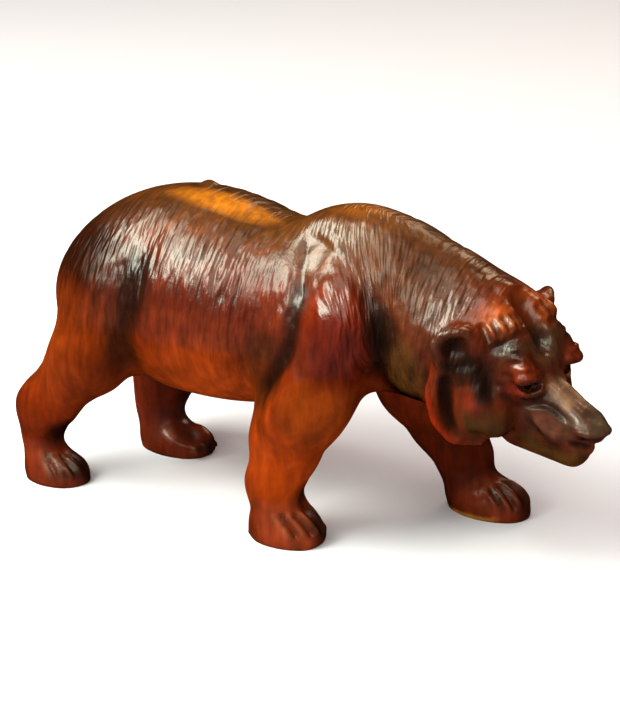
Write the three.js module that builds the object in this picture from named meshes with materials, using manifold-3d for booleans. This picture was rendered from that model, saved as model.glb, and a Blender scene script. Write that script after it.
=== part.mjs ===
// A walking bear in moulded leather: one leather skin over the whole figure, and two glass eyes set in it.
// Millimetres. +X is the way the bear walks, +Y its left side, +Z up, and Z = 0 the floor under its soles.
import * as THREE from 'three';
import Module from 'manifold-3d';
import { mergeVertices } from 'three/addons/utils/BufferGeometryUtils.js';

// Driving dimensions
const RUMP_X = -113; // middle of the rump
const BACK_X = -80; // highest part of the back
const BELLY_X = -44; // lowest part of the belly
const SHOULDER_X = 36; // middle of the shoulders
const BODY_HALF_WIDTH = 60;
const BACK_Z = 189.5; // top of the back
const BELLY_Z = 67; // underside of the barrel
const HEAD_PIVOT_X = 95; // the head turns about an upright line here
const HEAD_TURN_DEG = -11; // to the bear's right
const EYE = { x: 62.8, side: 16.8, z: 124.6, radius: 5.6 }; // in the head's frame, one on each side
const SOLE_Z = 0;
const FIT_GAP = 0.3; // between an eye and the leather behind it

const radians = THREE.MathUtils.degToRad;

// Forms: each gives the signed distance from a point to its surface in mm, negative inside
function egg([cx, cy, cz], [rx, ry, rz], pitchDeg = 0, yawDeg = 0) {
  const euler = new THREE.Euler(0, radians(pitchDeg), radians(yawDeg), 'ZYX');
  const m = new THREE.Matrix4().makeRotationFromEuler(euler).invert().elements;
  return (x, y, z) => {
    const [dx, dy, dz] = [x - cx, y - cy, z - cz];
    const px = (m[0] * dx + m[4] * dy + m[8] * dz) / rx;
    const py = (m[1] * dx + m[5] * dy + m[9] * dz) / ry;
    const pz = (m[2] * dx + m[6] * dy + m[10] * dz) / rz;
    const reach = Math.hypot(px, py, pz);
    const slope = Math.hypot(px / rx, py / ry, pz / rz);
    return reach < 1e-6 ? -Math.min(rx, ry, rz) : reach * (reach - 1) / slope;
  };
}

// How far along the line a to b the point lies, from 0 to 1, and its distance from the line there
function alongLine([ax, ay, az], [bx, by, bz], x, y, z) {
  const [ux, uy, uz] = [bx - ax, by - ay, bz - az];
  const [dx, dy, dz] = [x - ax, y - ay, z - az];
  const t = THREE.MathUtils.clamp((dx * ux + dy * uy + dz * uz) / (ux * ux + uy * uy + uz * uz), 0, 1);
  return [t, Math.hypot(dx - t * ux, dy - t * uy, dz - t * uz)];
}

// A tapering limb between two points, each x, y, z and radius
const limb = (a, b) => (x, y, z) => {
  const [t, distance] = alongLine(a, b, x, y, z);
  return distance - THREE.MathUtils.lerp(a[3], b[3], t);
};
const limbs = joints => joints.slice(1).map((joint, i) => limb(joints[i], joint));

function softMin(a, b, k) {
  const h = Math.max(k - Math.abs(a - b), 0) / k;
  return Math.min(a, b) - h * h * k / 4;
}
const blend = (k, ...forms) => (x, y, z) => forms.reduce((d, form) => softMin(d, form(x, y, z), k), Infinity);
const hollow = (k, form, tool) => (x, y, z) => -softMin(-form(x, y, z), tool(x, y, z), k);
const bothSides = form => (x, y, z) => form(x, Math.abs(y), z);

// A fold pressed into the skin along a line of points: as deep as depth, or raised where that is negative
const fold = (width, depth, points) => (x, y, z) => {
  let nearest = width;
  for (let i = 1; i < points.length; i++) {
    nearest = Math.min(nearest, alongLine(points[i - 1], points[i], x, y, z)[1]);
  }
  return depth * (1 - (nearest / width) ** 2) ** 2;
};
const folded = (form, ...folds) => (x, y, z) => folds.reduce((d, press) => d + press(x, y, z), form(x, y, z));

// Trunk: rump, barrel, chest, and the hump over the shoulders
const trunk = blend(12,
  blend(24,
    egg([RUMP_X, 0, 122], [59, BODY_HALF_WIDTH - 2, 50], -12),
    egg([BACK_X, 0, BACK_Z - 58], [66, BODY_HALF_WIDTH - 5, 58], 3),
    egg([BELLY_X, 0, BELLY_Z + 58.5], [80, BODY_HALF_WIDTH, 58.5], 2),
    egg([SHOULDER_X - 4, 0, 138.5], [56, BODY_HALF_WIDTH - 7, 50])),
  egg([SHOULDER_X + 6, 0, 169], [46, 31, 29], 6));
const neck = limb([62, 0, 142, 48], [112, -4, 132.3, 41.8]);

// Legs: joints from the body down, then the paw
function leg(joints, paw) {
  return blend(10, blend(14, ...limbs(joints)), paw);
}
const rightFore = leg(
  [[38, -28, 138, 34], [21, -42, 92, 26], [2.5, -44, 36, 14.5], [5, -43, 16, 14]],
  egg([8, -40, 5], [25, 18, 18]));
const leftFore = leg(
  [[40, 32, 130, 32], [52, 44, 80, 25], [78, 51, 34, 14.5], [81, 52, 16, 13.5]],
  egg([94, 55, 4], [27, 18, 18]));
const rightHind = leg(
  [[-116, -27, 122, 37], [-126, -42, 93, 24], [-163, -46, 49, 15.5],
    [-168.5, -44, 28, 9], [-167, -44, 14, 11]],
  egg([-158.5, -42, 3], [22, 17, 15]));
const leftHind = leg(
  [[-110, 26, 120, 38], [-99, 42, 86, 25], [-134, 42, 46, 18],
    [-136, 37, 26, 11.5], [-134, 37, 14, 12]],
  egg([-120, 34, 3], [26, 17, 15]));

// Head, in its own frame: x ahead of the pivot, y to its left, z up
const skull = blend(8,
  egg([30, 0, 125.5], [35, 41, 35]),
  bothSides(egg([44, 14.5, 142.5], [22.5, 14, 18], 30)), // the two lobes of the forehead
  bothSides(egg([33, 27.5, 110], [27, 17.5, 23])), // cheeks
  bothSides(egg([58, 14.5, 137.5], [9, 8.5, 8]))); // swelling above the brow
const muzzle = blend(8,
  limb([58, 0, 110, 19], [92, 0, 101, 10]),
  limb([50, 0, 93.5, 14.5], [84.5, 0, 86.5, 9.8]),
  egg([97, 0, 102.8], [8, 11.5, 4.2], 22)); // nose
const brow = egg([64.5, 19.5, 133], [6.5, 8, 5.5]);
const ear = hollow(2.5,
  egg([33, 39.5, 143.5], [7, 14, 13.8], 0, 45),
  egg([40.5, 47, 144], [7.5, 10.5, 10.5], 0, 45));
const cheekRim = blend(4, ...limbs([
  [28, 42, 134, 6], [25, 43.5, 115, 5.5], [28, 42, 102, 5.5], [34, 38.5, 93, 5], [44, 32, 88, 4]]));
const headFolds = [
  fold(7, 3, [[31, 45, 127], [32, 46, 104]]), // hollow inside the cheek rim
  fold(7, 2, [[49, 34, 141], [54, 33, 129], [57, 33, 116]]), // fold before the ear
  fold(8, 2, [[EYE.x + 4, EYE.side, EYE.z], [EYE.x + 4, EYE.side + 1, EYE.z]]), // eye socket
  fold(8, 2, [[37, 0, 160], [56, 0, 147], [66, 0, 132]]), // parting of the forehead
  fold(6, 1.8, [[98, 0, 96], [94, 8, 95]]), // mouth under the nose
];
const headForm = folded(
  blend(5, blend(10, skull, muzzle), bothSides(blend(1, brow, ear)), bothSides(cheekRim)),
  ...headFolds.map(bothSides));
const turn = radians(HEAD_TURN_DEG);
const head = (x, y, z) => {
  const ahead = x - HEAD_PIVOT_X;
  const aside = y * Math.cos(turn) - ahead * Math.sin(turn);
  return headForm(ahead * Math.cos(turn) + y * Math.sin(turn), aside, z);
};

// Creases where the limbs leave the trunk, given for the left side and used on both
const bodyFolds = [
  // behind the shoulder
  fold(18, 5, [[22, 29, 184], [25, 48, 164], [27, 61, 142], [24, 63, 127], [14, 64, 112], [4, 62, 96]]),
  // between neck and shoulder
  fold(17, 4.5, [[45, 29, 185], [63, 40, 170], [73, 47, 149], [74, 46, 131], [64, 34, 108]]),
  // before the thigh
  fold(20, 2.8, [[-84, 41, 172], [-89, 55, 150], [-90, 59, 124], [-92, 53, 102], [-99, 37, 81]]),
];

// The whole figure, standing on flat soles
const figure = folded(
  blend(8, trunk, neck, head, rightFore, leftFore, rightHind, leftHind), ...bodyFolds.map(bothSides));
const outline = (x, y) => figure(x, y, SOLE_Z);
const bear = (x, y, z) => Math.max(figure(x, y, z), SOLE_Z - z);

// A grid of cells over the figure, drawn together about the head so that they are finer there
const CELL = 8.2;
const GRID_FROM = [-236, -92, -96];
const GRID_TO = [290, 100, 226];
const EASING_ROUNDS = 4;
const FINE = { at: [139, -9, 122], share: 0.56, reach: 250 };
const gridPoint = (i, j, k) => {
  const [x, y, z] = [i, j, k].map((n, axis) => GRID_FROM[axis] + n * CELL - FINE.at[axis]);
  const away = THREE.MathUtils.smoothstep(Math.hypot(x, y, z), 0, FINE.reach);
  const scale = THREE.MathUtils.lerp(FINE.share, 1, away);
  return [FINE.at[0] + x * scale, FINE.at[1] + y * scale, FINE.at[2] + z * scale];
};

// Draws a point near the surface onto it, by the field's own slope
function drawOnto(field, [x, y, z]) {
  const h = 0.2;
  for (let step = 0; step < 2; step++) {
    const d = field(x, y, z);
    const slope = [
      field(x + h, y, z) - field(x - h, y, z),
      field(x, y + h, z) - field(x, y - h, z),
      field(x, y, z + h) - field(x, y, z - h)].map(difference => difference / (2 * h));
    const steep = Math.max(slope[0] ** 2 + slope[1] ** 2 + slope[2] ** 2, 0.25);
    [x, y, z] = [x - d * slope[0] / steep, y - d * slope[1] / steep, z - d * slope[2] / steep];
  }
  return [x, y, z];
}
const ontoSide = point => drawOnto(figure, point);
const ontoSole = ([x, y]) => [x, y, SOLE_Z];
const ontoSoleEdge = ([x, y]) => drawOnto(outline, [x, y, SOLE_Z]);
const meanOf = points => [0, 1, 2].map(axis => points.reduce((sum, p) => sum + p[axis], 0) / points.length);

// Labels a cell's eight corners, with one label for those that hang together inside the figure or outside it.
// Inside corners hang together along edges, outside ones across a face's diagonal too.
function cornerLabels(inside) {
  const labels = inside.map((_, corner) => corner);
  inside.forEach((state, a) => {
    for (const step of state ? [1, 2, 4] : [1, 2, 4, 3, 5, 6]) {
      if (inside[a ^ step] !== state) continue;
      const [from, to] = [labels[a], labels[a ^ step]];
      labels.forEach((label, n) => { labels[n] = label === from ? to : label; });
    }
  });
  return labels;
}

// One vertex for each sheet of the surface in a cell, and a four-sided face round each edge it crosses
function crossedCells() {
  const count = GRID_FROM.map((from, axis) => Math.ceil((GRID_TO[axis] - from) / CELL) + 1);
  const index = (i, j, k) => (i * count[1] + j) * count[2] + k;
  const nodes = [];
  for (let i = 0; i < count[0]; i++) {
    for (let j = 0; j < count[1]; j++) {
      for (let k = 0; k < count[2]; k++) {
        const at = gridPoint(i, j, k);
        nodes.push({ at, depth: bear(...at) });
      }
    }
  }
  const inside = (i, j, k) => nodes[index(i, j, k)].depth < 0;
  const cells = new Map();
  const cellAt = (i, j, k) => {
    const key = index(i, j, k);
    if (!cells.has(key)) {
      const corner = n => nodes[index(i + (n & 1), j + ((n >> 1) & 1), k + (n >> 2))];
      const corners = [0, 1, 2, 3, 4, 5, 6, 7].map(corner);
      const labels = cornerLabels(corners.map(node => node.depth < 0));
      cells.set(key, { corners, labels, sheets: new Map() });
    }
    return cells.get(key);
  };
  const vertices = [];
  const sheetVertex = ({ corners, labels, sheets }, from, to) => {
    const sheet = Math.min(labels[from], labels[to]) * 8 + Math.max(labels[from], labels[to]);
    if (sheets.has(sheet)) return sheets.get(sheet);
    const crossings = [];
    corners.forEach((p, a) => [1, 2, 4].filter(bit => !(a & bit)).forEach(bit => {
      const q = corners[a | bit];
      const pair = [labels[a], labels[a | bit]];
      if ((p.depth < 0) === (q.depth < 0) || Math.min(...pair) * 8 + Math.max(...pair) !== sheet) return;
      const t = p.depth / (p.depth - q.depth);
      crossings.push(p.at.map((value, axis) => THREE.MathUtils.lerp(value, q.at[axis], t)));
    }));
    const soleCrossings = crossings.filter(c => c[2] < SOLE_Z + 0.01).length;
    const onto = soleCrossings === crossings.length ? ontoSole : soleCrossings ? ontoSoleEdge : ontoSide;
    vertices.push({ at: onto(meanOf(crossings)), onto, beside: [] });
    sheets.set(sheet, vertices.length - 1);
    return vertices.length - 1;
  };
  const quads = [];
  for (let i = 1; i < count[0] - 1; i++) {
    for (let j = 1; j < count[1] - 1; j++) {
      for (let k = 1; k < count[2] - 1; k++) {
        for (const [axis, [u, v]] of [[1, 2], [2, 0], [0, 1]].entries()) {
          const along = [0, 1, 2].map(n => Number(n === axis));
          if (inside(i, j, k) === inside(i + along[0], j + along[1], k + along[2])) continue;
          const quad = [[1, 1], [0, 1], [0, 0], [1, 0]].map(back => {
            const shift = [0, 0, 0];
            [shift[u], shift[v]] = back;
            const corner = shift[0] + 2 * shift[1] + 4 * shift[2];
            const cell = cellAt(i - shift[0], j - shift[1], k - shift[2]);
            return sheetVertex(cell, corner, corner | (1 << axis));
          });
          quads.push(inside(i, j, k) ? quad : quad.reverse());
        }
      }
    }
  }
  return { vertices, quads };
}

// Skin: those vertices, eased toward their neighbours along the surface so that the faces come even
function skin() {
  const { vertices, quads } = crossedCells();
  for (const quad of quads) {
    quad.forEach((v, n) => vertices[v].beside.push(quad[(n + 1) % 4], quad[(n + 3) % 4]));
  }
  for (let round = 0; round < EASING_ROUNDS; round++) {
    const eased = vertices.map(({ at, onto, beside }) => {
      const middle = meanOf(beside.map(n => vertices[n].at));
      return onto(at.map((value, axis) => THREE.MathUtils.lerp(value, middle[axis], 0.5)));
    });
    eased.forEach((at, n) => { vertices[n].at = at; });
  }
  const span = (a, b) => Math.hypot(...vertices[a].at.map((value, axis) => value - vertices[b].at[axis]));
  const faces = quads.flatMap(([a, b, c, d]) => (
    span(a, c) < span(b, d) ? [a, b, c, a, c, d] : [b, c, d, b, d, a]));
  const geometry = new THREE.BufferGeometry();
  geometry.setAttribute('position', new THREE.Float32BufferAttribute(vertices.flatMap(v => v.at), 3));
  geometry.setIndex(faces);
  geometry.computeVertexNormals();
  return geometry;
}

const wasm = await Module();
wasm.setup();
const solid = geometry => new wasm.Manifold(new wasm.Mesh({
  numProp: 3,
  vertProperties: new Float32Array(geometry.attributes.position.array),
  triVerts: new Uint32Array(geometry.index.array),
}));
function geometryOf(manifold) {
  const { vertProperties, triVerts } = manifold.getMesh();
  const geometry = new THREE.BufferGeometry();
  geometry.setAttribute('position', new THREE.Float32BufferAttribute(vertProperties, 3));
  geometry.setIndex(new THREE.Uint32BufferAttribute(triVerts, 1));
  geometry.computeVertexNormals();
  return geometry;
}

// Eyes: the part of a ball that stands out of its socket, a hair clear of the leather
const headTurn = new THREE.Matrix4().makeRotationZ(turn).setPosition(HEAD_PIVOT_X, 0, 0);
function eye(side, hide) {
  const ball = new THREE.SphereGeometry(EYE.radius, 16, 12);
  ball.deleteAttribute('uv');
  ball.deleteAttribute('normal');
  ball.translate(EYE.x, side * EYE.side, EYE.z).applyMatrix4(headTurn);
  const outward = new THREE.Vector3(0.8, 0.6 * side, 0).transformDirection(headTurn);
  const cap = geometryOf(solid(mergeVertices(ball, 1e-4)).subtract(solid(hide)));
  return cap.translate(...outward.multiplyScalar(FIT_GAP));
}

const hide = skin();
const parts = {
  bear: [hide, new THREE.MeshStandardMaterial({ color: 0x6b2c10, roughness: 0.35 })],
  eye_right: [eye(-1, hide), new THREE.MeshStandardMaterial({ color: 0xb8650f, roughness: 0.08 })],
  eye_left: [eye(1, hide), new THREE.MeshStandardMaterial({ color: 0xb8650f, roughness: 0.08 })],
};

// The figure stands with the middle of its length and width over the origin
hide.computeBoundingBox();
const middle = hide.boundingBox.getCenter(new THREE.Vector3());
const group = new THREE.Group();
group.name = 'leather_bear';
for (const [name, [geometry, material]] of Object.entries(parts)) {
  const mesh = new THREE.Mesh(geometry.translate(-middle.x, -middle.y, 0), material);
  mesh.name = name;
  group.add(mesh);
}
export default group;
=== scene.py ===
import math

import bmesh
import bpy
import numpy as np
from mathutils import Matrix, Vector, noise
from mathutils.bvhtree import BVHTree


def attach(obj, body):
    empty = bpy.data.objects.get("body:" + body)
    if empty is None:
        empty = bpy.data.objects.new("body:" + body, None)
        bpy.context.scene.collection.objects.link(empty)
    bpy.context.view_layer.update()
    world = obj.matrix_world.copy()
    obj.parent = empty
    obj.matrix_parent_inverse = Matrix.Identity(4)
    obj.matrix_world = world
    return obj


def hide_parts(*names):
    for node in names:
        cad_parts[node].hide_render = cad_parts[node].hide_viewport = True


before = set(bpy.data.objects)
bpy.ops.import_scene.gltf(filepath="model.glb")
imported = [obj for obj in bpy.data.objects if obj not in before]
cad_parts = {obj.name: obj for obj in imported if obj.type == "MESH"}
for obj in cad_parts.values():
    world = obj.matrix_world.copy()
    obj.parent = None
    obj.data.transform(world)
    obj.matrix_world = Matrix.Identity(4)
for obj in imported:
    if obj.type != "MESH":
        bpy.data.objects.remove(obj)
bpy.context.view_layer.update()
scene = bpy.context.scene
scene.view_settings.view_transform = "Standard"
print("frame loaded with", len(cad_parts), "CAD nodes")


# sRGB hex to the linear colour that the shaders take
def linear(hexColour):
    parts = [int(hexColour[i:i + 2], 16) / 255 for i in (1, 3, 5)]
    return np.array([p / 12.92 if p <= 0.04045 else ((p + 0.055) / 1.055) ** 2.4 for p in parts])


# one node with its settings; a socket given for an input is linked, anything else is set on it
def addNode(tree, kind, inputs=None, **settings):
    node = tree.nodes.new(kind)
    for name, value in settings.items():
        setattr(node, name, value)
    for name, value in (inputs or {}).items():
        if isinstance(value, bpy.types.NodeSocket):
            tree.links.new(value, node.inputs[name])
        else:
            node.inputs[name].default_value = value
    return node


# the head has its own frame in mm: x ahead of the neck's pivot, y to the bear's left, z up
headSet = dict(pivot=(86.4, -0.7), turn=math.radians(-11))


def onHead(x, y, z):
    c, s = math.cos(headSet["turn"]), math.sin(headSet["turn"])
    return headSet["pivot"][0] + x * c - y * s, headSet["pivot"][1] + x * s + y * c, z


# camera at the photograph's angle: round from the bear's right side towards its face, and above it
cameraSet = dict(azimuth=31, elevation=22, distance=1.3, target=(-0.0086, -0.0007, 0.095), lens=108.94)


def awayFrom(azimuth, elevation):
    a, e = math.radians(azimuth), math.radians(elevation)
    return Vector((math.sin(a) * math.cos(e), -math.cos(a) * math.cos(e), math.sin(e)))


def placed(obj, azimuth, elevation, distance, target):
    back = awayFrom(azimuth, elevation)
    obj.location = Vector(target) + back * distance
    obj.rotation_euler = back.to_track_quat("Z", "Y").to_euler()
    scene.collection.objects.link(obj)
    return obj


cameraData = bpy.data.cameras.new("camera")
cameraData.lens = cameraSet["lens"]  # on a 36 mm sensor along the picture's height
cameraData.sensor_width = 36
cameraData.clip_start = 0.05
scene.camera = placed(bpy.data.objects.new("camera", cameraData), cameraSet["azimuth"],
                      cameraSet["elevation"], cameraSet["distance"], cameraSet["target"])
print("camera placed")


# leather skin: the CAD solid, made fine enough to take the folds
skinSet = dict(name="leatherBear", levels=2, soleCrease=0.85, easing=2)


def fineCopy(obj):
    depsgraph = bpy.context.evaluated_depsgraph_get()
    return bpy.data.meshes.new_from_object(obj.evaluated_get(depsgraph))


def points(mesh, field="co"):
    flat = np.empty(len(mesh.vertices) * 3)
    mesh.vertices.foreach_get(field, flat)
    return flat.reshape(-1, 3)


bm = bmesh.new()
bm.from_mesh(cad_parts["bear"].data)
bmesh.ops.remove_doubles(bm, verts=bm.verts, dist=1e-5)
bmesh.ops.join_triangles(bm, faces=bm.faces, angle_face_threshold=math.radians(60),
                         angle_shape_threshold=math.radians(70))
creaseLayer = bm.edges.layers.float.new("crease_edge")
for edge in bm.edges:
    onFloor = all(v.co.z < 1e-5 for v in edge.verts)
    if onFloor and any(f.normal.z > -0.9 for f in edge.link_faces):
        edge[creaseLayer] = skinSet["soleCrease"]
coarse = bpy.data.meshes.new("coarseSkin")
bm.to_mesh(coarse)
bm.free()
bear = bpy.data.objects.new(skinSet["name"], coarse)
scene.collection.objects.link(bear)
refine = bear.modifiers.new("refine", "SUBSURF")
refine.levels = skinSet["levels"]
# subdividing draws round forms in, so the coarse points go out first by as much
solidPoints = points(coarse)
shrunk = points(fineCopy(bear))[:len(solidPoints)]
coarse.vertices.foreach_set("co", (2 * solidPoints - shrunk).ravel())
coarse.update()
fine = fineCopy(bear)
bear.modifiers.clear()
bear.data = fine
fine.name = skinSet["name"]
print("skin refined to", len(fine.polygons), "faces")

skin = points(fine) * 1000  # in mm from here on
edges = np.empty(len(fine.edges) * 2, dtype=int)
fine.edges.foreach_get("vertices", edges)
edges = edges.reshape(-1, 2)
beside = np.bincount(edges.ravel(), minlength=len(skin))
onSole = skin[:, 2] < 0.3


def eased(values, rounds):
    for _ in range(rounds):
        total = np.zeros_like(values)
        np.add.at(total, edges[:, 0], values[edges[:, 1]])
        np.add.at(total, edges[:, 1], values[edges[:, 0]])
        middle = total / (beside[:, None] if values.ndim > 1 else beside)
        values = 0.5 * values + 0.5 * middle
    return values


soft = eased(skin, skinSet["easing"])
skin = np.where(onSole[:, None], skin, soft)


def updateNormals():
    fine.vertices.foreach_set("co", (skin / 1000).ravel())
    fine.update()
    return points(fine, "normal")


normals = updateNormals()
surface = BVHTree.FromPolygons([Vector(p) for p in skin], [tuple(p.vertices) for p in fine.polygons])
dark = np.zeros(len(skin))  # painted shade: how dark the folds and hollows are painted, where shade falls in them
toeWearAndHighlight = np.zeros(len(skin))  # how near the toes' ridges: worn there, and painted with a highlight


# a smooth line through a few points, laid onto the leather
def traced(knots, step=2.0):
    knots = [np.array(k, dtype=float) for k in knots]
    ends = [2 * knots[0] - knots[1]] + knots + [2 * knots[-1] - knots[-2]]
    line = []
    for a, b, c, d in zip(ends, ends[1:], ends[2:], ends[3:]):
        count = max(2, int(np.linalg.norm(c - b) / step))
        for t in np.arange(count) / count:
            line.append(0.5 * (2 * b + (c - a) * t + (2 * a - 5 * b + 4 * c - d) * t ** 2
                               + (3 * b - a - 3 * c + d) * t ** 3))
    line.append(knots[-1])
    return np.array([surface.find_nearest(Vector(p))[0] for p in line])


# the points of the skin within width of a line, how near they are (0 at that width, 1 on the line)
# and how far along it
def nearTo(line, width):
    low, high = line.min(axis=0) - width, line.max(axis=0) + width
    close = np.flatnonzero(((skin > low) & (skin < high)).all(axis=1))
    here = skin[close]
    best = np.full(len(close), float(width))
    along = np.zeros(len(close))
    for i, (a, b) in enumerate(zip(line, line[1:])):
        run = b - a
        t = np.clip((here - a) @ run / max(run @ run, 1e-9), 0, 1)
        far = np.linalg.norm(here - a - t[:, None] * run, axis=1)
        closer = far < best
        best[closer] = far[closer]
        along[closer] = i + t[closer]
    return close, 1 - best / width, along / (len(line) - 1)


# presses a line into the leather, or raises it where depth is negative; it fades towards its ends,
# and the darkness given is painted shade along it
def press(knots, width, depth, stainAndShade=0.0, sharp=2.0, fade=0.22):
    line = traced(knots)
    close, near, along = nearTo(line, width)
    ends = np.clip(np.minimum(along, 1 - along) / fade, 0, 1) ** 0.7
    skin[close] -= normals[close] * (depth * ends * (1 - (1 - near) ** 2) ** sharp)[:, None]
    if stainAndShade:
        close, near, along = nearTo(line, width * 1.3)
        ends = np.clip(np.minimum(along, 1 - along) / fade, 0, 1)
        dark[close] = np.maximum(dark[close], stainAndShade * ends * (1 - (1 - near) ** 2) ** 2)


def bothSides(knots):
    return [knots, [(x, -y, z) for x, y, z in knots]]


# creases of the body, on the right side as seen and mirrored, most with painted shade in them
bodyFolds = [
    dict(knots=[(4, -24, 181), (8, -33, 171), (12, -46, 159)],
         width=3.6, depth=0.7, stainAndShade=0.5),  # behind the shoulder
    dict(knots=[(9, -38, 167), (12, -46, 159), (12, -53, 147), (11, -56, 129), (3, -58, 110), (-8, -58, 94)],
         width=8, depth=2.4, stainAndShade=1.0, fade=0.12),
    dict(knots=[(45, -35, 171), (54, -40, 159), (61, -42, 144), (60, -40, 125), (53, -27, 103)],
         width=8, depth=2.0, stainAndShade=0.85),  # between neck and shoulder
    dict(knots=[(-94, -40, 173), (-92, -50, 160), (-94, -56, 148), (-97, -59, 135), (-102, -58, 115),
                (-108, -44, 88)], width=9, depth=1.2, stainAndShade=0.6),  # before the thigh
    dict(knots=[(6, -20, 186), (19, -25, 184), (32, -30, 179), (45, -35, 171)],
         width=5, depth=-0.9),  # edge of the shoulder
    dict(knots=[(4, -30, 176), (14, -36, 173), (26, -40, 172)], width=18, depth=-1.2),  # its smooth top
]
for foldSet in bodyFolds:
    for knots in bothSides(foldSet["knots"]):
        press(**{**foldSet, "knots": knots})
print("body creases pressed")


# a round hollow, or a swelling where depth is negative; the darkness given is painted shade in the hollow
def dent(at, radius, depth, stainAndShade=0.0):
    far = np.linalg.norm(skin - np.array(at), axis=1) / radius
    close = np.flatnonzero(far < 1)
    skin[close] -= normals[close] * (depth * (1 - far[close] ** 2) ** 2)[:, None]
    dark[close] = np.maximum(dark[close], stainAndShade * (1 - far[close] ** 2) ** 2)


# broad hollows and swellings of the head, for its right side and mirrored
headDents = [
    dict(at=(34, 0, 163), radius=13, depth=-2.5),  # top of the skull
    dict(at=(65, -14, 146), radius=12, depth=3.2),  # forehead between lobe and brow
    dict(at=(70, -11, 139), radius=10, depth=3.0),
    dict(at=(66, 0, 134), radius=13, depth=-2.6),  # between the brows
    dict(at=(66, -23, 134), radius=8, depth=-1.4),  # brow
    dict(at=(57, -27, 100), radius=14, depth=-2.6),  # cheek runs into the jaw
    dict(at=(62, -20, 92), radius=11, depth=-2.2),
    dict(at=(36, -45, 145), radius=11, depth=5.0, stainAndShade=0.8),  # cup of the ear, with painted shade in it
    dict(at=(47, -37, 89), radius=14, depth=4.0),  # lower edge of the cheek
    dict(at=(47, -41, 122), radius=6, depth=-0.9),  # cheek
    dict(at=(48, -42, 113), radius=8, depth=-1.2),
    dict(at=(76, -14, 102), radius=9, depth=0.6),  # lip
    dict(at=(97, -10, 98), radius=4.5, depth=1.8, stainAndShade=1.2),  # nostril, painted dark as shade in it
    dict(at=(99, 0, 110), radius=9, depth=0.8),  # flat of the nose
    dict(at=(97, 0, 90), radius=7, depth=-1.2),  # lower lip
]
for dentSet in headDents:
    for side in (1, -1):
        x, y, z = dentSet["at"]
        dent(**{**dentSet, "at": onHead(x, side * y, z)})


# lets the leather go soft again round a point
def soften(at, radius, rounds):
    far = np.linalg.norm(skin - np.array(at), axis=1) / radius
    weight = np.clip(1.5 - 1.5 * far, 0, 1)[:, None]
    return skin * (1 - weight) + eased(skin, rounds) * weight


for side in (1, -1):
    skin = soften(onHead(68, side * 8, 140), radius=17, rounds=10)  # between the brows
loneDents = [
    dict(at=(-84, 9, 190), radius=8, depth=-2.8),  # small knob on the left of the croup
    dict(at=(90, -1, 181), radius=26, depth=-2),  # nape
    dict(at=onHead(64, 24, 120), radius=10, depth=-5),  # the lids of the left eye stand out more
]
for dentSet in loneDents:
    dent(**dentSet)
normals = updateNormals()
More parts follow.
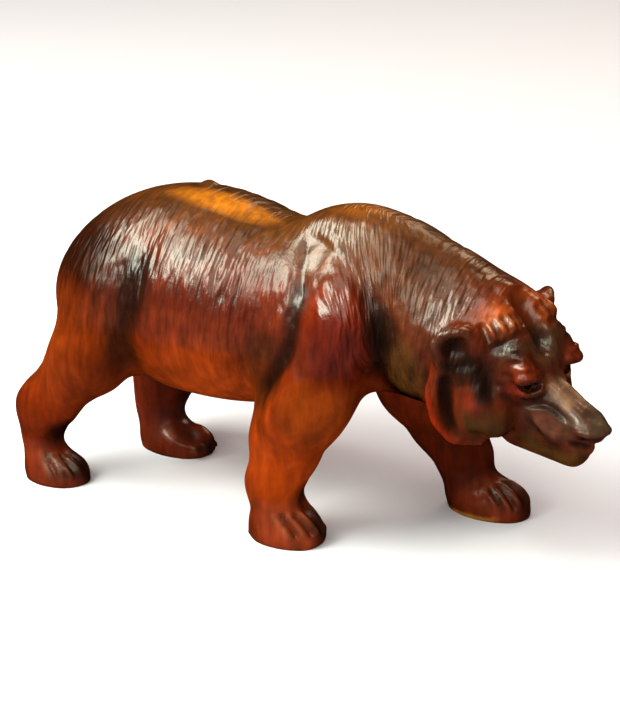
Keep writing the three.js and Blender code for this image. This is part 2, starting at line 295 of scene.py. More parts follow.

# lines of the head, pressed in or raised; the pressed ones carry painted shade
headFolds = [
    dict(knots=[(37, 0, 165), (45, 0, 162), (53, 0, 155), (59, 0, 146), (64, 0, 136)],
         width=10, depth=3.0, stainAndShade=0.7),  # parting
    dict(knots=[(42, -27, 150), (48, -24, 154), (53, -19, 157), (55, -13, 158)],
         width=8, depth=-1.2),  # front of the lobe
    dict(knots=[(45, -30, 143), (52, -26, 147), (56, -22, 150), (59, -17, 153), (60, -11, 154),
                (58, -5, 154)], width=5.5, depth=2.6, stainAndShade=0.95),  # under the lobe
    dict(knots=[(52, -28, 143), (57, -24, 146), (61, -18, 149), (62, -12, 151)],
         width=3, depth=1.0, stainAndShade=0.7),
    dict(knots=[(55, -31, 132), (60, -28, 131), (64, -26, 132)], width=2.6, depth=0.8, stainAndShade=0.5),
    dict(knots=[(54, -32, 127), (59, -29, 125), (63, -25, 125)],
         width=2.6, depth=0.8, stainAndShade=0.5),  # corner of the eye
    dict(knots=[(56, -31, 121), (60, -28, 119), (63, -24, 118)], width=2.6, depth=0.7, stainAndShade=0.5),
    dict(knots=[(61, -24, 127), (65, -25, 130), (69, -21, 131), (71, -13, 128), (71, -8, 124)],
         width=4.2, depth=-2.6),  # upper lid
    dict(knots=[(61, -22, 122), (65, -18, 119), (69, -13, 120), (71, -8, 123)],
         width=3.6, depth=-2.4),  # lower lid
    dict(knots=[(58, -27, 138), (64, -26, 139), (69, -21, 139), (72, -14, 137)],
         width=3.2, depth=1.3, stainAndShade=0.7),  # on the brow
    dict(knots=[(57, -27, 143), (63, -22, 144), (67, -15, 142)], width=2.8, depth=1.1, stainAndShade=0.6),
    dict(knots=[(59, -29, 134), (66, -27, 135), (71, -21, 135), (73, -14, 133)],
         width=2.8, depth=1.2, stainAndShade=0.7),
    dict(knots=[(59, -28, 130), (65, -27, 132), (70, -22, 132), (72, -14, 130)],
         width=2.4, depth=1.0, stainAndShade=0.7),
    dict(knots=[(60, -24, 120), (65, -19, 116), (70, -14, 117), (73, -9, 120)],
         width=2.6, depth=1.3, stainAndShade=0.9),
    dict(knots=[(61, -25, 117), (66, -19, 113), (72, -13, 114), (75, -10, 118)],
         width=2.6, depth=1.1, stainAndShade=0.7),
    dict(knots=[(45, -34, 143), (48, -34, 136), (50, -34, 128), (53, -38, 117)],
         width=7, depth=1.3, stainAndShade=0.8),  # temple
    dict(knots=[(28, -50, 136), (34, -47, 135), (39, -42, 136), (43, -37, 140)],
         width=6, depth=2.4, stainAndShade=0.9),  # below the ear
    dict(knots=[(32, -46, 134), (30, -44, 124), (30, -44, 116), (31, -44, 106), (34, -45, 99), (40, -43, 94)],
         width=5.5, depth=2.0, stainAndShade=0.95),  # inside the rim
    dict(knots=[(22, -46, 134), (20, -46, 123), (20, -48, 113), (23, -48, 102), (34, -45, 92), (45, -39, 90)],
         width=3, depth=-2.0),  # rim of the cheek
    dict(knots=[(17, -45, 135), (15, -45, 123), (15, -46, 112), (17, -46, 101), (29, -44, 89)],
         width=4, depth=1.6, stainAndShade=0.85),
    dict(knots=[(24, -49, 141), (25, -49, 148), (29, -47, 153), (36, -42, 155), (41, -37, 152)],
         width=4, depth=-2.2),  # rim of the ear
    dict(knots=[(68, -14, 97), (78, -11, 94), (86, -10, 94), (93, -8, 94)],
         width=7, depth=-2.2),  # lips closed
    dict(knots=[(65, -18, 108), (68, -17, 111), (75, -15, 112), (80, -13, 110), (86, -12, 104)],
         width=2.8, depth=-0.7),  # lip
    dict(knots=[(67, -17, 107), (70, -15, 102), (76, -14, 98), (82, -12, 97), (86, -12, 100)],
         width=2.8, depth=-1.0),
    dict(knots=[(66, -19, 109), (68, -16, 101), (75, -14, 95), (83, -12, 93), (88, -12, 97)],
         width=3, depth=1.5, stainAndShade=0.85),
    dict(knots=[(66, -19, 112), (74, -16, 115), (82, -13, 112), (88, -12, 106)],
         width=3.2, depth=1.5, stainAndShade=0.85),
    dict(knots=[(70, -5, 125), (79, -6, 119), (89, -7, 112), (97, -8, 107)],
         width=5, depth=-1.3),  # edge of the muzzle
    dict(knots=[(92, -12, 106), (96, -12, 102), (101, -10, 102), (106, -3, 102), (106, 0, 102)],
         width=2.6, depth=-1.3),  # nose
    dict(knots=[(93, -13, 101), (98, -11, 99), (103, -6, 98), (105, 0, 98)], width=3, depth=1.4, stainAndShade=0.9),
    dict(knots=[(86, -11, 97), (92, -9, 94), (97, -6, 92), (99, 0, 92)],
         width=2.8, depth=1.0, stainAndShade=0.8),  # mouth
]
for foldSet in headFolds:
    for knots in bothSides(foldSet["knots"]):
        press(**{**foldSet, "knots": [onHead(*k) for k in knots]})

# short ridges across the front of each lobe, with painted shade in the grooves pressed for them
lobeSet = dict(
    front=[(47, -28, 147), (52, -25, 150), (56, -21, 153), (59, -16, 156), (59, -10, 157), (57, -5, 156)],
    back=[(38, -26, 155), (43, -23, 158), (47, -19, 161), (49, -14, 162), (49, -9, 161), (48, -5, 159)],
    width=3.2, depth=2.2, stainAndShade=0.75)
for front, back in zip(lobeSet["front"], lobeSet["back"]):
    for knots in bothSides([front, tuple((f + b) / 2 for f, b in zip(front, back)), back]):
        press([onHead(*k) for k in knots], lobeSet["width"], lobeSet["depth"], lobeSet["stainAndShade"])
normals = updateNormals()
print("head folds pressed")

# legs filled out a little
legDents = [
    dict(at=(-16, -50, 66), radius=20, depth=-4),  # behind the right elbow
    dict(at=(17, -39, 50), radius=14, depth=-2),  # front of the right foreleg
    dict(at=(14, -37, 27), radius=11, depth=4),  # hollow above its paw
    dict(at=(-151, -51, 45), radius=14, depth=-1.2),  # front of the right hind leg
    dict(at=(48, 36, 43), radius=16, depth=-3),  # left foreleg
]
for dentSet in legDents:
    dent(**dentSet)

# toes: each one's ridge from the instep to its tip, with a groove between it and the next, painted with shade
toes = dict(
    rightFore=[
        [(0, -58, 23), (6, -58, 16), (12, -57, 7)],
        [(7, -55, 23), (13, -53, 17), (19, -51, 8)],
        [(12, -49, 23), (19, -46, 16), (25, -44, 8)],
        [(14, -41, 23), (22, -38, 15), (27, -36, 7)],
    ],
    rightHind=[
        [(-169, -56, 23), (-166, -57, 14), (-159, -58, 5)],
        [(-166, -53, 21), (-160, -54, 14), (-153, -55, 5)],
        [(-163, -51, 20), (-156, -52, 13), (-149, -52, 6)],
        [(-160, -46, 18), (-153, -46, 13), (-147, -46, 6)],
    ],
    leftFore=[
        [(88, 41, 19), (94, 40, 14), (100, 39, 6)],
        [(92, 44, 21), (99, 43, 15), (105, 43, 7)],
        [(94, 50, 22), (102, 49, 16), (109, 48, 8)],
        [(94, 57, 22), (103, 57, 15), (110, 56, 7)],
    ],
    leftHind=[
        [(-110, 22, 7), (-107, 22, 5), (-105, 23, 3)],
        [(-105, 28, 8), (-102, 28, 5), (-101, 28, 3)],
        [(-102, 35, 7), (-99, 35, 5), (-98, 35, 3)],
        [(-104, 42, 7), (-101, 43, 5), (-100, 43, 3)],
    ],
)
toeSet = dict(width=3.2, raised=1.9, groove=2.6, depth=2.0, stainAndShade=0.9)
for ridges in toes.values():
    for ridge in ridges:
        press(ridge, toeSet["width"], -toeSet["raised"], fade=0.2)
        close, near, along = nearTo(traced(ridge), toeSet["width"])
        toeWearAndHighlight[close] = np.maximum(toeWearAndHighlight[close], near * np.clip(np.minimum(along, 1 - along) / 0.2, 0, 1))
    for one, other in zip(ridges, ridges[1:]):
        between = [tuple((a + b) / 2 for a, b in zip(k, m)) for k, m in zip(one, other)]
        press(between, toeSet["groove"], toeSet["depth"], toeSet["stainAndShade"], fade=0.15)
knuckleSet = dict(places=[(84, 40, 22), (88, 46, 24), (92, 46, 22), (85, 38, 15), (89, 41, 18)],
                  radius=4, depth=-1.3)  # of the left fore paw
for at in knuckleSet["places"]:
    dent(at, knuckleSet["radius"], knuckleSet["depth"])
pawDents = [
    dict(at=(-106, 36, 12), radius=11, depth=-3.4),  # full tip and outer edge of the left hind paw
    dict(at=(-115, 37, 15), radius=8, depth=-2),
    dict(at=(-116, 27, 13), radius=10, depth=2.6, stainAndShade=0.7),  # its hollow, with painted shade in it
]
for dentSet in pawDents:
    dent(**dentSet)
pawRim = dict(knots=[(-130, 25, 17), (-129, 21, 14), (-122, 19, 11), (-115, 20, 10), (-108, 24, 9),
                     (-105, 31, 9), (-108, 37, 12)], width=4, depth=-1.2)  # round the hollow
press(**pawRim)
print("toes pressed")

# combed wrinkles: lines round the trunk and neck from the back down the flanks, as the hide was tooled,
# each in a few short parts; angles in degrees from the top of the back
# each line gets a little painted shade in its groove
combSet = dict(first=-168, last=98, spacing=5.5, axisZ=122, width=3.6, depth=0.55, stainAndShade=0.22, lowest=88,
               parts=4, start=14, step=22, startJitter=16, length=17, lengthJitter=9, waver=1.5)
leanSet = dict(at=42, reach=26, slope=0.62, fromAngle=25, most=40)
smoothSet = dict(at=(12, 174), reach=(17, 9))  # x and z of the shoulder's top, which isn't combed
noiseSeed = Vector((3.1, 7.7, 1.9))


# over the shoulder the lines run down and forward, elsewhere they stay upright
def lean(x, angle):
    shoulder = np.exp(-((x - leanSet["at"]) / leanSet["reach"]) ** 2)
    return shoulder * leanSet["slope"] * np.minimum(angle - leanSet["fromAngle"], leanSet["most"])


def onSmoothTop(point):
    return (abs(point[0] - smoothSet["at"][0]) < smoothSet["reach"][0]
            and abs(point[2] - smoothSet["at"][1]) < smoothSet["reach"][1])


# one part of a line, from the ray's hits on the hide
def combLine(x0, start, length, side, part):
    knots = []
    for t in (0, 0.25, 0.5, 0.75, 1):
        angle = start + t * length
        waver = combSet["waver"] * noise.noise(Vector((x0 * 0.2, angle * 0.05, part)))
        a = math.radians(angle)
        middle = Vector((x0 + lean(x0, angle) + waver, 0, combSet["axisZ"]))
        hit = surface.ray_cast(middle, Vector((0, side * math.sin(a), math.cos(a))))[0]
        if hit is not None:
            knots.append(tuple(hit))
    return knots


combCount = int((combSet["last"] - combSet["first"]) / combSet["spacing"])
for side in (-1, 1):
    for n in range(combCount):
        for part in range(combSet["parts"]):
            jitter = noise.noise(noiseSeed * (n + 1) + Vector((part * 5.3, side, 0)))
            stretch = noise.noise(noiseSeed * (n + 31) + Vector((part * 2.7, side, 0)))
            knots = combLine(combSet["first"] + combSet["spacing"] * (n + 0.37 * part + 0.5 * jitter),
                             combSet["start"] + part * combSet["step"] + combSet["startJitter"] * jitter,
                             combSet["length"] + combSet["lengthJitter"] * stretch, side, part)
            if len(knots) == 5 and knots[-1][2] > combSet["lowest"] and not any(map(onSmoothTop, knots)):
                depth = combSet["depth"] * (0.7 + 0.6 * abs(jitter))
                press(knots, combSet["width"], depth, combSet["stainAndShade"])
skin[:, 2] = np.maximum(skin[:, 2], 0)  # the paws stand on the floor
updateNormals()  # the mesh takes its final shape
print("combed wrinkles pressed")


# goes from 0 to 1 past start
def ramp(values, start, over):
    return np.clip((values - start) / over, 0, 1)


# 1 at x and z on both flanks, and nothing well past its size
def flankSpot(at, size):
    return np.exp(-((skin[:, 0] - at[0]) / size[0]) ** 2 - ((skin[:, 2] - at[1]) / size[1]) ** 2)


# flow of the fine lines for the leather's shader, in mm across and along them, and how strong they are
lineSet = dict(girth=60, smoothTop=dict(at=(12, 175), size=(20, 10)), neckX=78, neckReach=22,
               behind=(14, 26), up=(95, 25), least=0.04)
# where each coat of wax begins and over how many mm it builds up, or goes on the paws
waxSet = dict(face=(108, 24), chin=(80, 15), top=(110, 28), rump=(114, 22), paws=(20, 14))
angle = np.arctan2(np.abs(skin[:, 1]), skin[:, 2] - combSet["axisZ"])
across = skin[:, 0] - lean(skin[:, 0], np.degrees(angle))
onFace = ramp(skin[:, 0], *waxSet["face"])  # the face was tooled by hand, not combed
onNeck = np.exp(-((skin[:, 0] - lineSet["neckX"]) / lineSet["neckReach"]) ** 2)
smoothTop = np.clip(1.8 * flankSpot(**lineSet["smoothTop"]), 0, 1)
strength = np.maximum(ramp(skin[:, 2], *lineSet["up"]), lineSet["least"]) * (1 - 0.75 * onFace)
strength *= (1 - 0.25 * onNeck) * (1 - 0.95 * smoothTop)
fromAxis = np.hypot(skin[:, 1], skin[:, 2] - combSet["axisZ"])
strength *= ramp(fromAxis, *lineSet["behind"])  # none where they would meet behind
flow = np.stack([across, angle * lineSet["girth"], strength], axis=1)

# how thick the wax is: most on the back, the face, the paws and the worn toes
onRump = ramp(-skin[:, 0], *waxSet["rump"])
waxedTop = ramp(skin[:, 2], *waxSet["top"]) * (1 - 0.2 * onFace) * (1 - 0.8 * onRump)
waxedFace = 0.9 * onFace * ramp(skin[:, 2], *waxSet["chin"])
waxedPaws = 0.7 * (1 - ramp(skin[:, 2], *waxSet["paws"]))
waxedToes = np.minimum(1, 1.5 * toeWearAndHighlight)
polish = np.max([waxedTop, waxedFace, waxedPaws, waxedToes], axis=0)
dullFlanks = [
    dict(at=(-16, 156), size=(26, 16), amount=0.45),  # before the shoulder
    dict(at=(70, 168), size=(24, 28), amount=0.7),  # side of the neck
    dict(at=(47, 182), size=(15, 12), amount=0.6),  # between neck and shoulder
    dict(at=(-60, 181), size=(50, 9), amount=0.55),  # edge of the back
    dict(at=(-128, 142), size=(22, 16), amount=0.7),  # side of the rump
]
for dullSet in dullFlanks:
    polish *= 1 - dullSet["amount"] * flankSpot(dullSet["at"], dullSet["size"])
dullHead = [
    dict(at=(76, 15, 110), radius=10),  # lips
    dict(at=(40, 41, 130), radius=13),  # hollows below the ears
]
for dullSet in dullHead:
    for side in (1, -1):
        x, y, z = dullSet["at"]
        far = np.linalg.norm(skin - np.array(onHead(x, side * y, z)), axis=1) / dullSet["radius"]
        polish *= 1 - 0.75 * np.exp(-far ** 2)


# the same stain on the right and on the left
def pair(at, **rest):
    return [dict(at=at, **rest), dict(at=(at[0], -at[1], at[2]), **rest)]


# stains laid over the hide, with painted shade and a painted warm reflection among them: where, how far in
# mm, which colour and how strongly
stainsAndPaintedLight = [
    dict(at=(-142, 0, 152), size=(54, 140, 46), colour="#1e0701", strength=0.95),  # dark rump
    *pair(at=(-140, -46, 96), size=(48, 40, 50), colour="#5c1f02", strength=0.85),  # orange haunch
    dict(at=(-42, 0, 88), size=(80, 95, 52), colour="#802d02", strength=1.0),  # tan belly
    dict(at=(-45, 0, 144), size=(60, 90, 13), colour="#460e02", strength=0.75),  # red-brown flanks
    dict(at=(14, -44, 50), size=(46, 40, 74), colour="#7c2a02", strength=0.95),  # orange forelegs
    # painted shade: the left foreleg darker, away from the light
    dict(at=(70, 48, 50), size=(46, 40, 74), colour="#3c0f02", strength=0.85),
    dict(at=(-20, 0, 196), size=(190, 74, 48), colour="#4a2609", strength=1.0),  # brown back
    dict(at=(-60, -10, 188), size=(44, 13, 14), colour="#a0590b", strength=0.9),  # amber along the spine: painted warm reflection of the light from behind
    # painted warm reflection on the top of the hump
    dict(at=(24, 0, 199), size=(26, 15, 10), colour="#6d3706", strength=0.8),
    dict(at=(34, -62, 92), size=(30, 28, 26), colour="#702b05", strength=0.85),  # tan upper arm
    *pair(at=(45, -52, 136), size=(30, 34, 31), colour="#500e01", strength=0.9),  # red shoulder
    dict(at=(80, 0, 162), size=(46, 70, 46), colour="#42200a", strength=0.9),  # brown neck
    dict(at=(76, 0, 112), size=(26, 90, 40), colour="#120502", strength=1.0),  # dark throat
    *pair(at=(76, -44, 123), size=(20, 22, 24), colour="#48290a", strength=0.85),  # olive sides of it
    *pair(at=(64, -42, 144), size=(13, 22, 17), colour="#140703", strength=0.8),  # dark neck behind the ear
    *pair(at=(-94, -58, 146), size=(17, 20, 34), colour="#0e0502", strength=0.85),  # dark flank: painted shade in the crease before the thigh
    *pair(at=(-7, -58, 108), size=(20, 20, 32), colour="#241004", strength=0.75),  # painted shade in the crease behind the shoulder
    *pair(at=(-105, -56, 106), size=(13, 18, 34), colour="#2c1404", strength=0.65),  # olive before the thigh, with painted shade in its crease
    dict(at=(-128, 34, 40), size=(34, 24, 44), colour="#36100a", strength=0.7),  # left hind leg darker: painted shade, away from the light
]
pawColourAndShade = [  # the left fore paw's own colour, then painted shade on the fronts of the paws and in the hollows before the ankles
    dict(at=(90, 46, 12), size=(24, 18, 18), colour="#6a2404", strength=0.8),
    dict(at=(24, -33, 14), size=(17, 20, 22), colour="#120502", strength=0.9),
    dict(at=(13, -36, 31), size=(14, 20, 13), colour="#120502", strength=0.85),
    dict(at=(-147, -39, 13), size=(16, 18, 18), colour="#120502", strength=0.9),
    dict(at=(-156, -47, 34), size=(15, 20, 17), colour="#120502", strength=0.9),
    dict(at=(112, 58, 9), size=(14, 16, 13), colour="#1c0a04", strength=0.8),
    dict(at=(-98, 34, 7), size=(14, 16, 10), colour="#1c0a04", strength=0.8),
    dict(at=(-118, 34, 30), size=(14, 16, 14), colour="#200a04", strength=0.7),
]
headStainsAndHighlight = [
    dict(at=(45, 0, 122), size=(60, 70, 62), colour="#3a1203", strength=0.85),  # deep red-brown all over
    dict(at=(46, 0, 158), size=(26, 40, 16), colour="#7e3005", strength=0.85),  # orange lobes
    *pair(at=(30, -46, 144), size=(17, 13, 17), colour="#2c1107", strength=0.85),  # dark ears
    dict(at=(61, 0, 142), size=(16, 16, 16), colour="#3c2414", strength=0.85),  # dark between the brows
    dict(at=(84, 0, 108), size=(34, 24, 18), colour="#3a2418", strength=0.9),  # grey-brown muzzle
    # painted highlight: lighter along the top of the muzzle
    dict(at=(80, 0, 119), size=(26, 10, 9), colour="#5a3c2a", strength=0.85),
    dict(at=(101, 0, 106), size=(11, 16, 9), colour="#3c2c20", strength=0.85),  # grey nose
]
paint = np.tile(linear("#561801"), (len(skin), 1))
onPaws = skin[:, 2] < 35
toeWearAndHighlight = eased(toeWearAndHighlight, 1)
dark = np.where(onPaws, eased(dark, 1), dark)


def paintedOn(under, at, size, colour, strength):
    far = (((skin - np.array(at)) / np.array(size)) ** 2).sum(axis=1)
    weight = strength * np.clip(1.3 - 1.3 * far, 0, 1)[:, None]
    return under * (1 - weight) + linear(colour) * weight


for patchSet in stainsAndPaintedLight:
    paint = paintedOn(paint, **patchSet)
wearAndHighlight = (0.75 * toeWearAndHighlight)[:, None]
paint = paint * (1 - wearAndHighlight) + linear("#7a4a34") * wearAndHighlight  # pale on the toes: wear, and a painted highlight on their ridges
for patchSet in pawColourAndShade + [{**s, "at": onHead(*s["at"])} for s in headStainsAndHighlight]:
    paint = paintedOn(paint, **patchSet)

# strokes of stain, painted shade and painted highlight along lines: where, in mm, how wide and which colour;
# those of the head on both its sides
headStrokes = [
    dict(knots=[(40, -42, 101), (50, -39, 103), (60, -29, 98)],
         width=13, colour="#3c2205", strength=0.9),  # olive cheek
    dict(knots=[(42, -43, 121), (47, -43, 115), (51, -42, 110)],
         width=6, colour="#5c1202", strength=0.6),  # red on it
    dict(knots=[(56, -14, 91), (69, -12, 87), (82, -9, 83), (93, -4, 85), (97, 0, 88)],
         width=10, colour="#3c2506", strength=0.85),  # chin
    dict(knots=[(22, -47, 132), (18, -46, 122), (20, -49, 113), (22, -48, 104), (30, -46, 94), (40, -43, 90)],
         width=3, colour="#741804", strength=0.9),  # red rim of the cheek
    dict(knots=[(31, -45, 133), (28, -44, 122), (30, -43, 112), (32, -43, 104), (36, -44, 96)],
         width=5, colour="#0e0603", strength=0.9),  # painted shade in the groove inside it
    dict(knots=[(36, -42, 136), (38, -42, 129), (40, -42, 123)],
         width=9, colour="#160a05", strength=0.85),  # painted shade below the ear
    dict(knots=[(34, -42, 141), (41, -38, 136), (48, -37, 126), (51, -38, 119), (52, -39, 113)],
         width=7, colour="#120a06", strength=0.9),  # dark from the ear down: painted shade in the hollow behind the cheek
    dict(knots=[(40, -25, 160), (49, -22, 159), (56, -17, 157)],
         width=10, colour="#944008", strength=0.85),  # lobe
    dict(knots=[(50, -28, 141), (58, -23, 145), (62, -15, 146), (63, -7, 142)],
         width=6, colour="#3c2414", strength=0.8),  # before it
    dict(knots=[(24, -49, 142), (26, -49, 149), (31, -47, 154), (37, -41, 155), (41, -38, 150)],
         width=3, colour="#4a2a18", strength=0.8),  # painted highlight along the ear's rim
    dict(knots=[(60, -29, 133), (65, -26, 135), (70, -22, 136), (72, -16, 134)],
         width=6, colour="#8c2c05", strength=0.85),  # brow
    dict(knots=[(58, -27, 128), (60, -23, 121), (64, -19, 117)], width=4, colour="#7a1e04", strength=0.7),
    dict(knots=[(60, -19, 125), (65, -15, 124), (68, -11, 122)],
         width=5, colour="#160a06", strength=0.8),  # painted shade round the eye, under the brow
    dict(knots=[(67, -17, 106), (75, -14, 105), (84, -12, 99)],
         width=7, colour="#5c3020", strength=0.85),  # lip
    dict(knots=[(70, -5, 125), (79, -6, 119), (89, -7, 112)],
         width=5, colour="#7e5c44", strength=0.6),  # painted highlight along the edge of the muzzle
]
loneStrokes = [
    dict(knots=[onHead(60, 26, 120), onHead(65, 23, 119), onHead(70, 15, 120)],
         width=5, colour="#a05c10", strength=0.9),  # amber lid
    dict(knots=[(-129, 24, 16), (-127, 21, 13), (-120, 19, 11)],
         width=4, colour="#6a3c30", strength=0.7),  # worn rim, with a painted highlight along it
    dict(knots=[(-116, 36, 16), (-110, 36, 13), (-107, 33, 10)], width=5, colour="#7a3006", strength=0.7),
    dict(knots=[(63, 44, 1), (76, 38, 1), (88, 37, 1), (99, 39, 1)],
         width=2.5, colour="#a06a28", strength=0.8),  # worn edge
]
strokes = list(loneStrokes)
for strokeSet in headStrokes:
    for knots in bothSides(strokeSet["knots"]):
        strokes.append({**strokeSet, "knots": [onHead(*k) for k in knots]})
for strokeSet in strokes:
    close, near, along = nearTo(traced(strokeSet["knots"]), strokeSet["width"])
    ends = np.clip(np.minimum(along, 1 - along) / 0.15, 0.2, 1)
    weight = (strokeSet["strength"] * ends * (1 - (1 - near) ** 2))[:, None]
    paint[close] = paint[close] * (1 - weight) + linear(strokeSet["colour"]) * weight

layers = [
    ("stainAndShade", "FLOAT_COLOR", "color", np.hstack([paint, np.ones((len(paint), 1))])),
    ("flow", "FLOAT_VECTOR", "vector", flow),
    ("foldShade", "FLOAT", "value", dark),
    ("polish", "FLOAT", "value", polish),
]
for name, kind, field, values in layers:
    layer = fine.attributes.new(name, kind, "POINT")
    layer.data.foreach_set(field, values.ravel())
print("stains laid")

# burnished cowhide, moulded wet, stained by hand and waxed: warm colour that runs from tan to near black,
# painted shade in the folds, combed hair lines, and a wax gloss that breaks over them
# sizes in mm; real pores and hair lines are finer, these are drawn coarser so that they show
leatherSet = dict(mottle=34, flecks=6, fleckLength=24, lines=3.6, lineLength=15, lumps=7, pores=0.9)
perMetre = {name: 1000 / size for name, size in leatherSet.items()}
leather = bpy.data.materials.new("burnishedCowhide")
leather.use_nodes = True
tree = leather.node_tree
tree.nodes.clear()
paintedColour = addNode(tree, "ShaderNodeAttribute", attribute_name="stainAndShade").outputs["Color"]
foldShade = addNode(tree, "ShaderNodeAttribute", attribute_name="foldShade").outputs["Fac"]
polished = addNode(tree, "ShaderNodeAttribute", attribute_name="polish").outputs["Fac"]
flowVector = addNode(tree, "ShaderNodeAttribute", attribute_name="flow").outputs["Vector"]
place = addNode(tree, "ShaderNodeTexCoord").outputs["Object"]
mottle = addNode(tree, "ShaderNodeTexNoise", {"Vector": place, "Scale": perMetre["mottle"], "Detail": 4.0,
                                              "Roughness": 0.6}).outputs["Fac"]
mottled = addNode(tree, "ShaderNodeMapRange", {"Value": mottle, "From Min": 0.3, "From Max": 0.7,
                                               "To Min": 0.62, "To Max": 1.3}).outputs["Result"]
flowParts = addNode(tree, "ShaderNodeSeparateXYZ", {"Vector": flowVector})
lineScale = (1 / leatherSet["lines"], 1 / leatherSet["lineLength"], 0)
scaledFlow = addNode(tree, "ShaderNodeVectorMath", {0: flowVector, 1: lineScale},
                     operation="MULTIPLY").outputs["Vector"]
hairLines = addNode(tree, "ShaderNodeTexNoise", {"Vector": scaledFlow, "Scale": 1.0,
                                                 "Detail": 1.0}).outputs["Fac"]
# streaks along the hair lines, darker in their grooves: the hide's tone, and painted shade in the grooves
streaksAndLineShade = addNode(tree, "ShaderNodeMapRange", {"Value": hairLines, "From Min": 0.35, "From Max": 0.6,
                                               "To Min": 0.88, "To Max": 1.04}).outputs["Result"]
fleckScale = (perMetre["flecks"], perMetre["flecks"], perMetre["fleckLength"])
upright = addNode(tree, "ShaderNodeVectorMath", {0: place, 1: fleckScale},
                  operation="MULTIPLY").outputs["Vector"]
flecks = addNode(tree, "ShaderNodeTexNoise", {"Vector": upright, "Scale": 1.0, "Detail": 3.0}).outputs["Fac"]
flecked = addNode(tree, "ShaderNodeMapRange", {"Value": flecks, "From Min": 0.3, "From Max": 0.7,
                                               "To Min": 0.72, "To Max": 1.22}).outputs["Result"]
marks = addNode(tree, "ShaderNodeMath", {0: flecked, 1: streaksAndLineShade}, operation="MULTIPLY").outputs["Value"]
tone = addNode(tree, "ShaderNodeMath", {0: mottled, 1: marks}, operation="MULTIPLY").outputs["Value"]
toned = addNode(tree, "ShaderNodeVectorMath", {0: paintedColour, "Scale": tone},
                operation="SCALE").outputs["Vector"]
# painted shade: the colour goes near black where the folds and hollows are painted dark
inFolds = addNode(tree, "ShaderNodeMix", {0: foldShade, 6: toned, 7: (*linear("#0c0402"), 1)},
                  data_type="RGBA").outputs[2]
pores = addNode(tree, "ShaderNodeTexVoronoi", {"Vector": place,
                                               "Scale": perMetre["pores"]}).outputs["Distance"]
lineHeight = addNode(tree, "ShaderNodeMath", {0: hairLines, 1: flowParts.outputs["Z"]},
                     operation="MULTIPLY").outputs["Value"]
poreBump = addNode(tree, "ShaderNodeBump", {"Height": pores, "Strength": 0.08,
                                            "Distance": 0.0004}).outputs["Normal"]
lumps = addNode(tree, "ShaderNodeTexNoise", {"Vector": place, "Scale": perMetre["lumps"],
                                             "Detail": 3.0}).outputs["Fac"]
lumpBump = addNode(tree, "ShaderNodeBump", {"Height": lumps, "Strength": 0.5, "Distance": 0.001,
                                            "Normal": poreBump}).outputs["Normal"]
lineBump = addNode(tree, "ShaderNodeBump", {"Height": lineHeight, "Strength": 1.0, "Distance": 0.0024,
                                            "Normal": lumpBump}).outputs["Normal"]
gloss = addNode(tree, "ShaderNodeMapRange", {"Value": polished, "From Min": 0.0, "From Max": 1.0,
                                             "To Min": 0.45, "To Max": 0.28}).outputs["Result"]
waxed = addNode(tree, "ShaderNodeMapRange", {"Value": polished, "From Min": 0.3, "From Max": 1.0,
                                             "To Min": 0.0, "To Max": 0.12}).outputs["Result"]
sheen = addNode(tree, "ShaderNodeMapRange", {"Value": polished, "From Min": 0.1, "From Max": 1.0,
                                             "To Min": 0.02, "To Max": 0.42}).outputs["Result"]
shader = addNode(tree, "ShaderNodeBsdfPrincipled", {
    "Base Color": inFolds, "Roughness": gloss, "IOR": 1.5, "Specular IOR Level": sheen,
    "Coat Weight": waxed, "Coat Roughness": 0.13, "Normal": lineBump})
addNode(tree, "ShaderNodeOutputMaterial", {"Surface": shader.outputs["BSDF"]})
fine.materials.clear()
fine.materials.append(leather)
fine.polygons.foreach_set("use_smooth", np.ones(len(fine.polygons), dtype=bool))
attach(bear, "root")
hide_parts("bear")
print("leather done")

# glass eyes: a ball with its pupil and iris looking ahead and out; sizes in mm, pupil and iris in degrees
eyeSet = dict(at=(62.8, 16.8, 124.6), radius=5.0, look=(0.8, 0.5, 0.25), rings=24, segments=40,
              pupil=28, iris=60, flecks=1.1)


def glass(name, colour):
    material = bpy.data.materials.new(name)
    material.use_nodes = True
    tree = material.node_tree
    tree.nodes.clear()
    place = addNode(tree, "ShaderNodeTexCoord").outputs["Object"]
    flecks = addNode(tree, "ShaderNodeTexNoise", {"Vector": place, "Scale": 1000 / eyeSet["flecks"],
                                                  "Detail": 3.0}).outputs["Fac"]
    shade = addNode(tree, "ShaderNodeMapRange", {"Value": flecks, "To Min": 0.6,
                                                 "To Max": 1.4}).outputs["Result"]
    tinted = addNode(tree, "ShaderNodeVectorMath", {0: tuple(linear(colour)), "Scale": shade},
                     operation="SCALE").outputs["Vector"]
    shader = addNode(tree, "ShaderNodeBsdfPrincipled", {"Base Color": tinted, "Roughness": 0.06, "IOR": 1.52,
                                                        "Coat Weight": 1.0, "Coat Roughness": 0.02})
    addNode(tree, "ShaderNodeOutputMaterial", {"Surface": shader.outputs["BSDF"]})
    return material


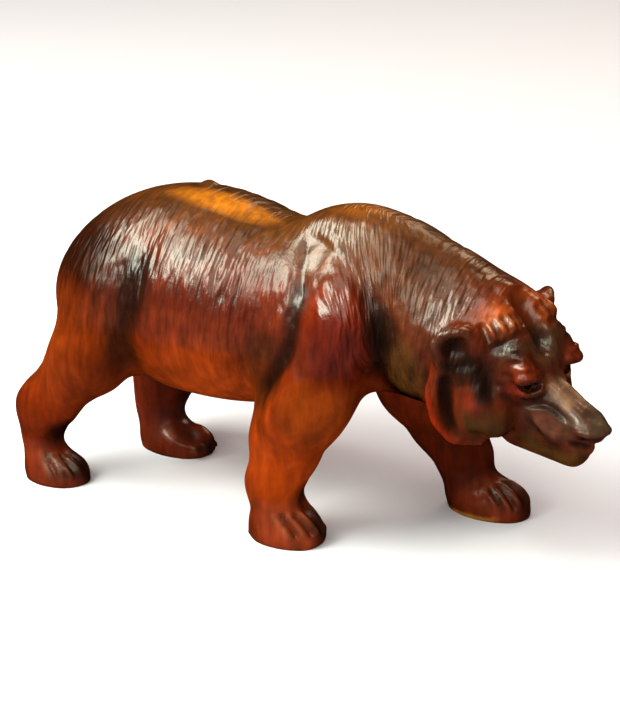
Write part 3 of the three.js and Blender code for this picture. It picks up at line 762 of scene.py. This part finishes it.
# blown glass, painted behind: the colour is deep and the polished surface mirrors the lights
eyeGlass = [glass("pupilGlass", "#080402"), glass("amberGlass", "#1e0c03"), glass("rimGlass", "#140803")]
for side, node in ((-1, "eye_right"), (1, "eye_left")):
    bm = bmesh.new()
    bmesh.ops.create_uvsphere(bm, u_segments=eyeSet["segments"], v_segments=eyeSet["rings"],
                              radius=eyeSet["radius"] * 0.001)
    for face in bm.faces:
        face.smooth = True
        off = math.degrees(face.calc_center_median().angle(Vector((0, 0, 1))))
        face.material_index = 0 if off < eyeSet["pupil"] else 1 if off < eyeSet["iris"] else 2
    ball = bpy.data.meshes.new("glassEye")
    bm.to_mesh(ball)
    bm.free()
    for material in eyeGlass:
        ball.materials.append(material)
    x, y, z = eyeSet["at"]
    lx, ly, lz = eyeSet["look"]
    eye = bpy.data.objects.new("glassEyeRight" if side < 0 else "glassEyeLeft", ball)
    eye.location = Vector(onHead(x, side * y, z)) * 0.001
    look = Vector(onHead(lx, side * ly, lz)) - Vector(onHead(0, 0, 0))
    eye.rotation_euler = look.to_track_quat("Z", "Y").to_euler()
    scene.collection.objects.link(eye)
    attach(eye, "root")
    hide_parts(node)
print("eyes set")

# pale floor of matt studio paper, an even ground that only takes the shadow
floorMesh = bpy.data.meshes.new("floor")
floorMesh.from_pydata([(-4, -4, 0), (4, -4, 0), (4, 4, 0), (-4, 4, 0)], [], [(0, 1, 2, 3)])
floor = bpy.data.objects.new("floor", floorMesh)
scene.collection.objects.link(floor)
paper = bpy.data.materials.new("paleStudioPaper")
paper.use_nodes = True
paper.node_tree.nodes["Principled BSDF"].inputs["Base Color"].default_value = (*linear("#cacad8"), 1)
paper.node_tree.nodes["Principled BSDF"].inputs["Roughness"].default_value = 0.9
floorMesh.materials.append(paper)
floor.visible_glossy = False  # keeps the gloss dark below: the wax doesn't mirror the floor

# soft studio light: a box high on the left before a wide weak one, small ones at the side, in front and
# above, a fill, and one behind for the back's edge
lights = dict(
    key=dict(azimuth=-36, elevation=43, distance=1.7, size=(0.9, 0.8), power=48, colour="#faffe8"),
    side=dict(azimuth=-71, elevation=47, distance=1.6, size=(0.5, 0.5), power=16, colour="#faffe8"),
    wide=dict(azimuth=-24, elevation=42, distance=1.8, size=(2.2, 0.9), power=20, colour="#faffe8"),
    front=dict(azimuth=34, elevation=45, distance=1.6, size=(0.5, 0.9), power=7, colour="#faffe8"),
    fill=dict(azimuth=18, elevation=14, distance=2.2, size=(2.0, 1.0), power=14, colour="#fff2e4"),
    top=dict(azimuth=0, elevation=85, distance=1.5, size=(0.9, 0.6), power=8, colour="#fff2e0"),
    rear=dict(azimuth=180, elevation=36, distance=1.8, size=(0.7, 0.45), power=7, colour="#ffdcb4"),
)
for name, lightSet in lights.items():
    lamp = bpy.data.lights.new(name, "AREA")
    lamp.shape = "RECTANGLE"
    lamp.size, lamp.size_y = lightSet["size"]
    lamp.energy = lightSet["power"]
    lamp.color = linear(lightSet["colour"])
    lampObject = bpy.data.objects.new(name, lamp)
    lampObject.visible_glossy = name != "fill"  # the fill only lifts the shadows, it isn't mirrored
    placed(lampObject, lightSet["azimuth"], lightSet["elevation"], lightSet["distance"], (0, 0, 0.1))
world = bpy.data.worlds.new("studio")
scene.world = world
world.use_nodes = True
world.node_tree.nodes["Background"].inputs["Color"].default_value = (*linear("#fff4e8"), 1)
world.node_tree.nodes["Background"].inputs["Strength"].default_value = 0.55
world.cycles_visibility.glossy = False  # light all round, with dark surroundings in the gloss
print("studio lit")
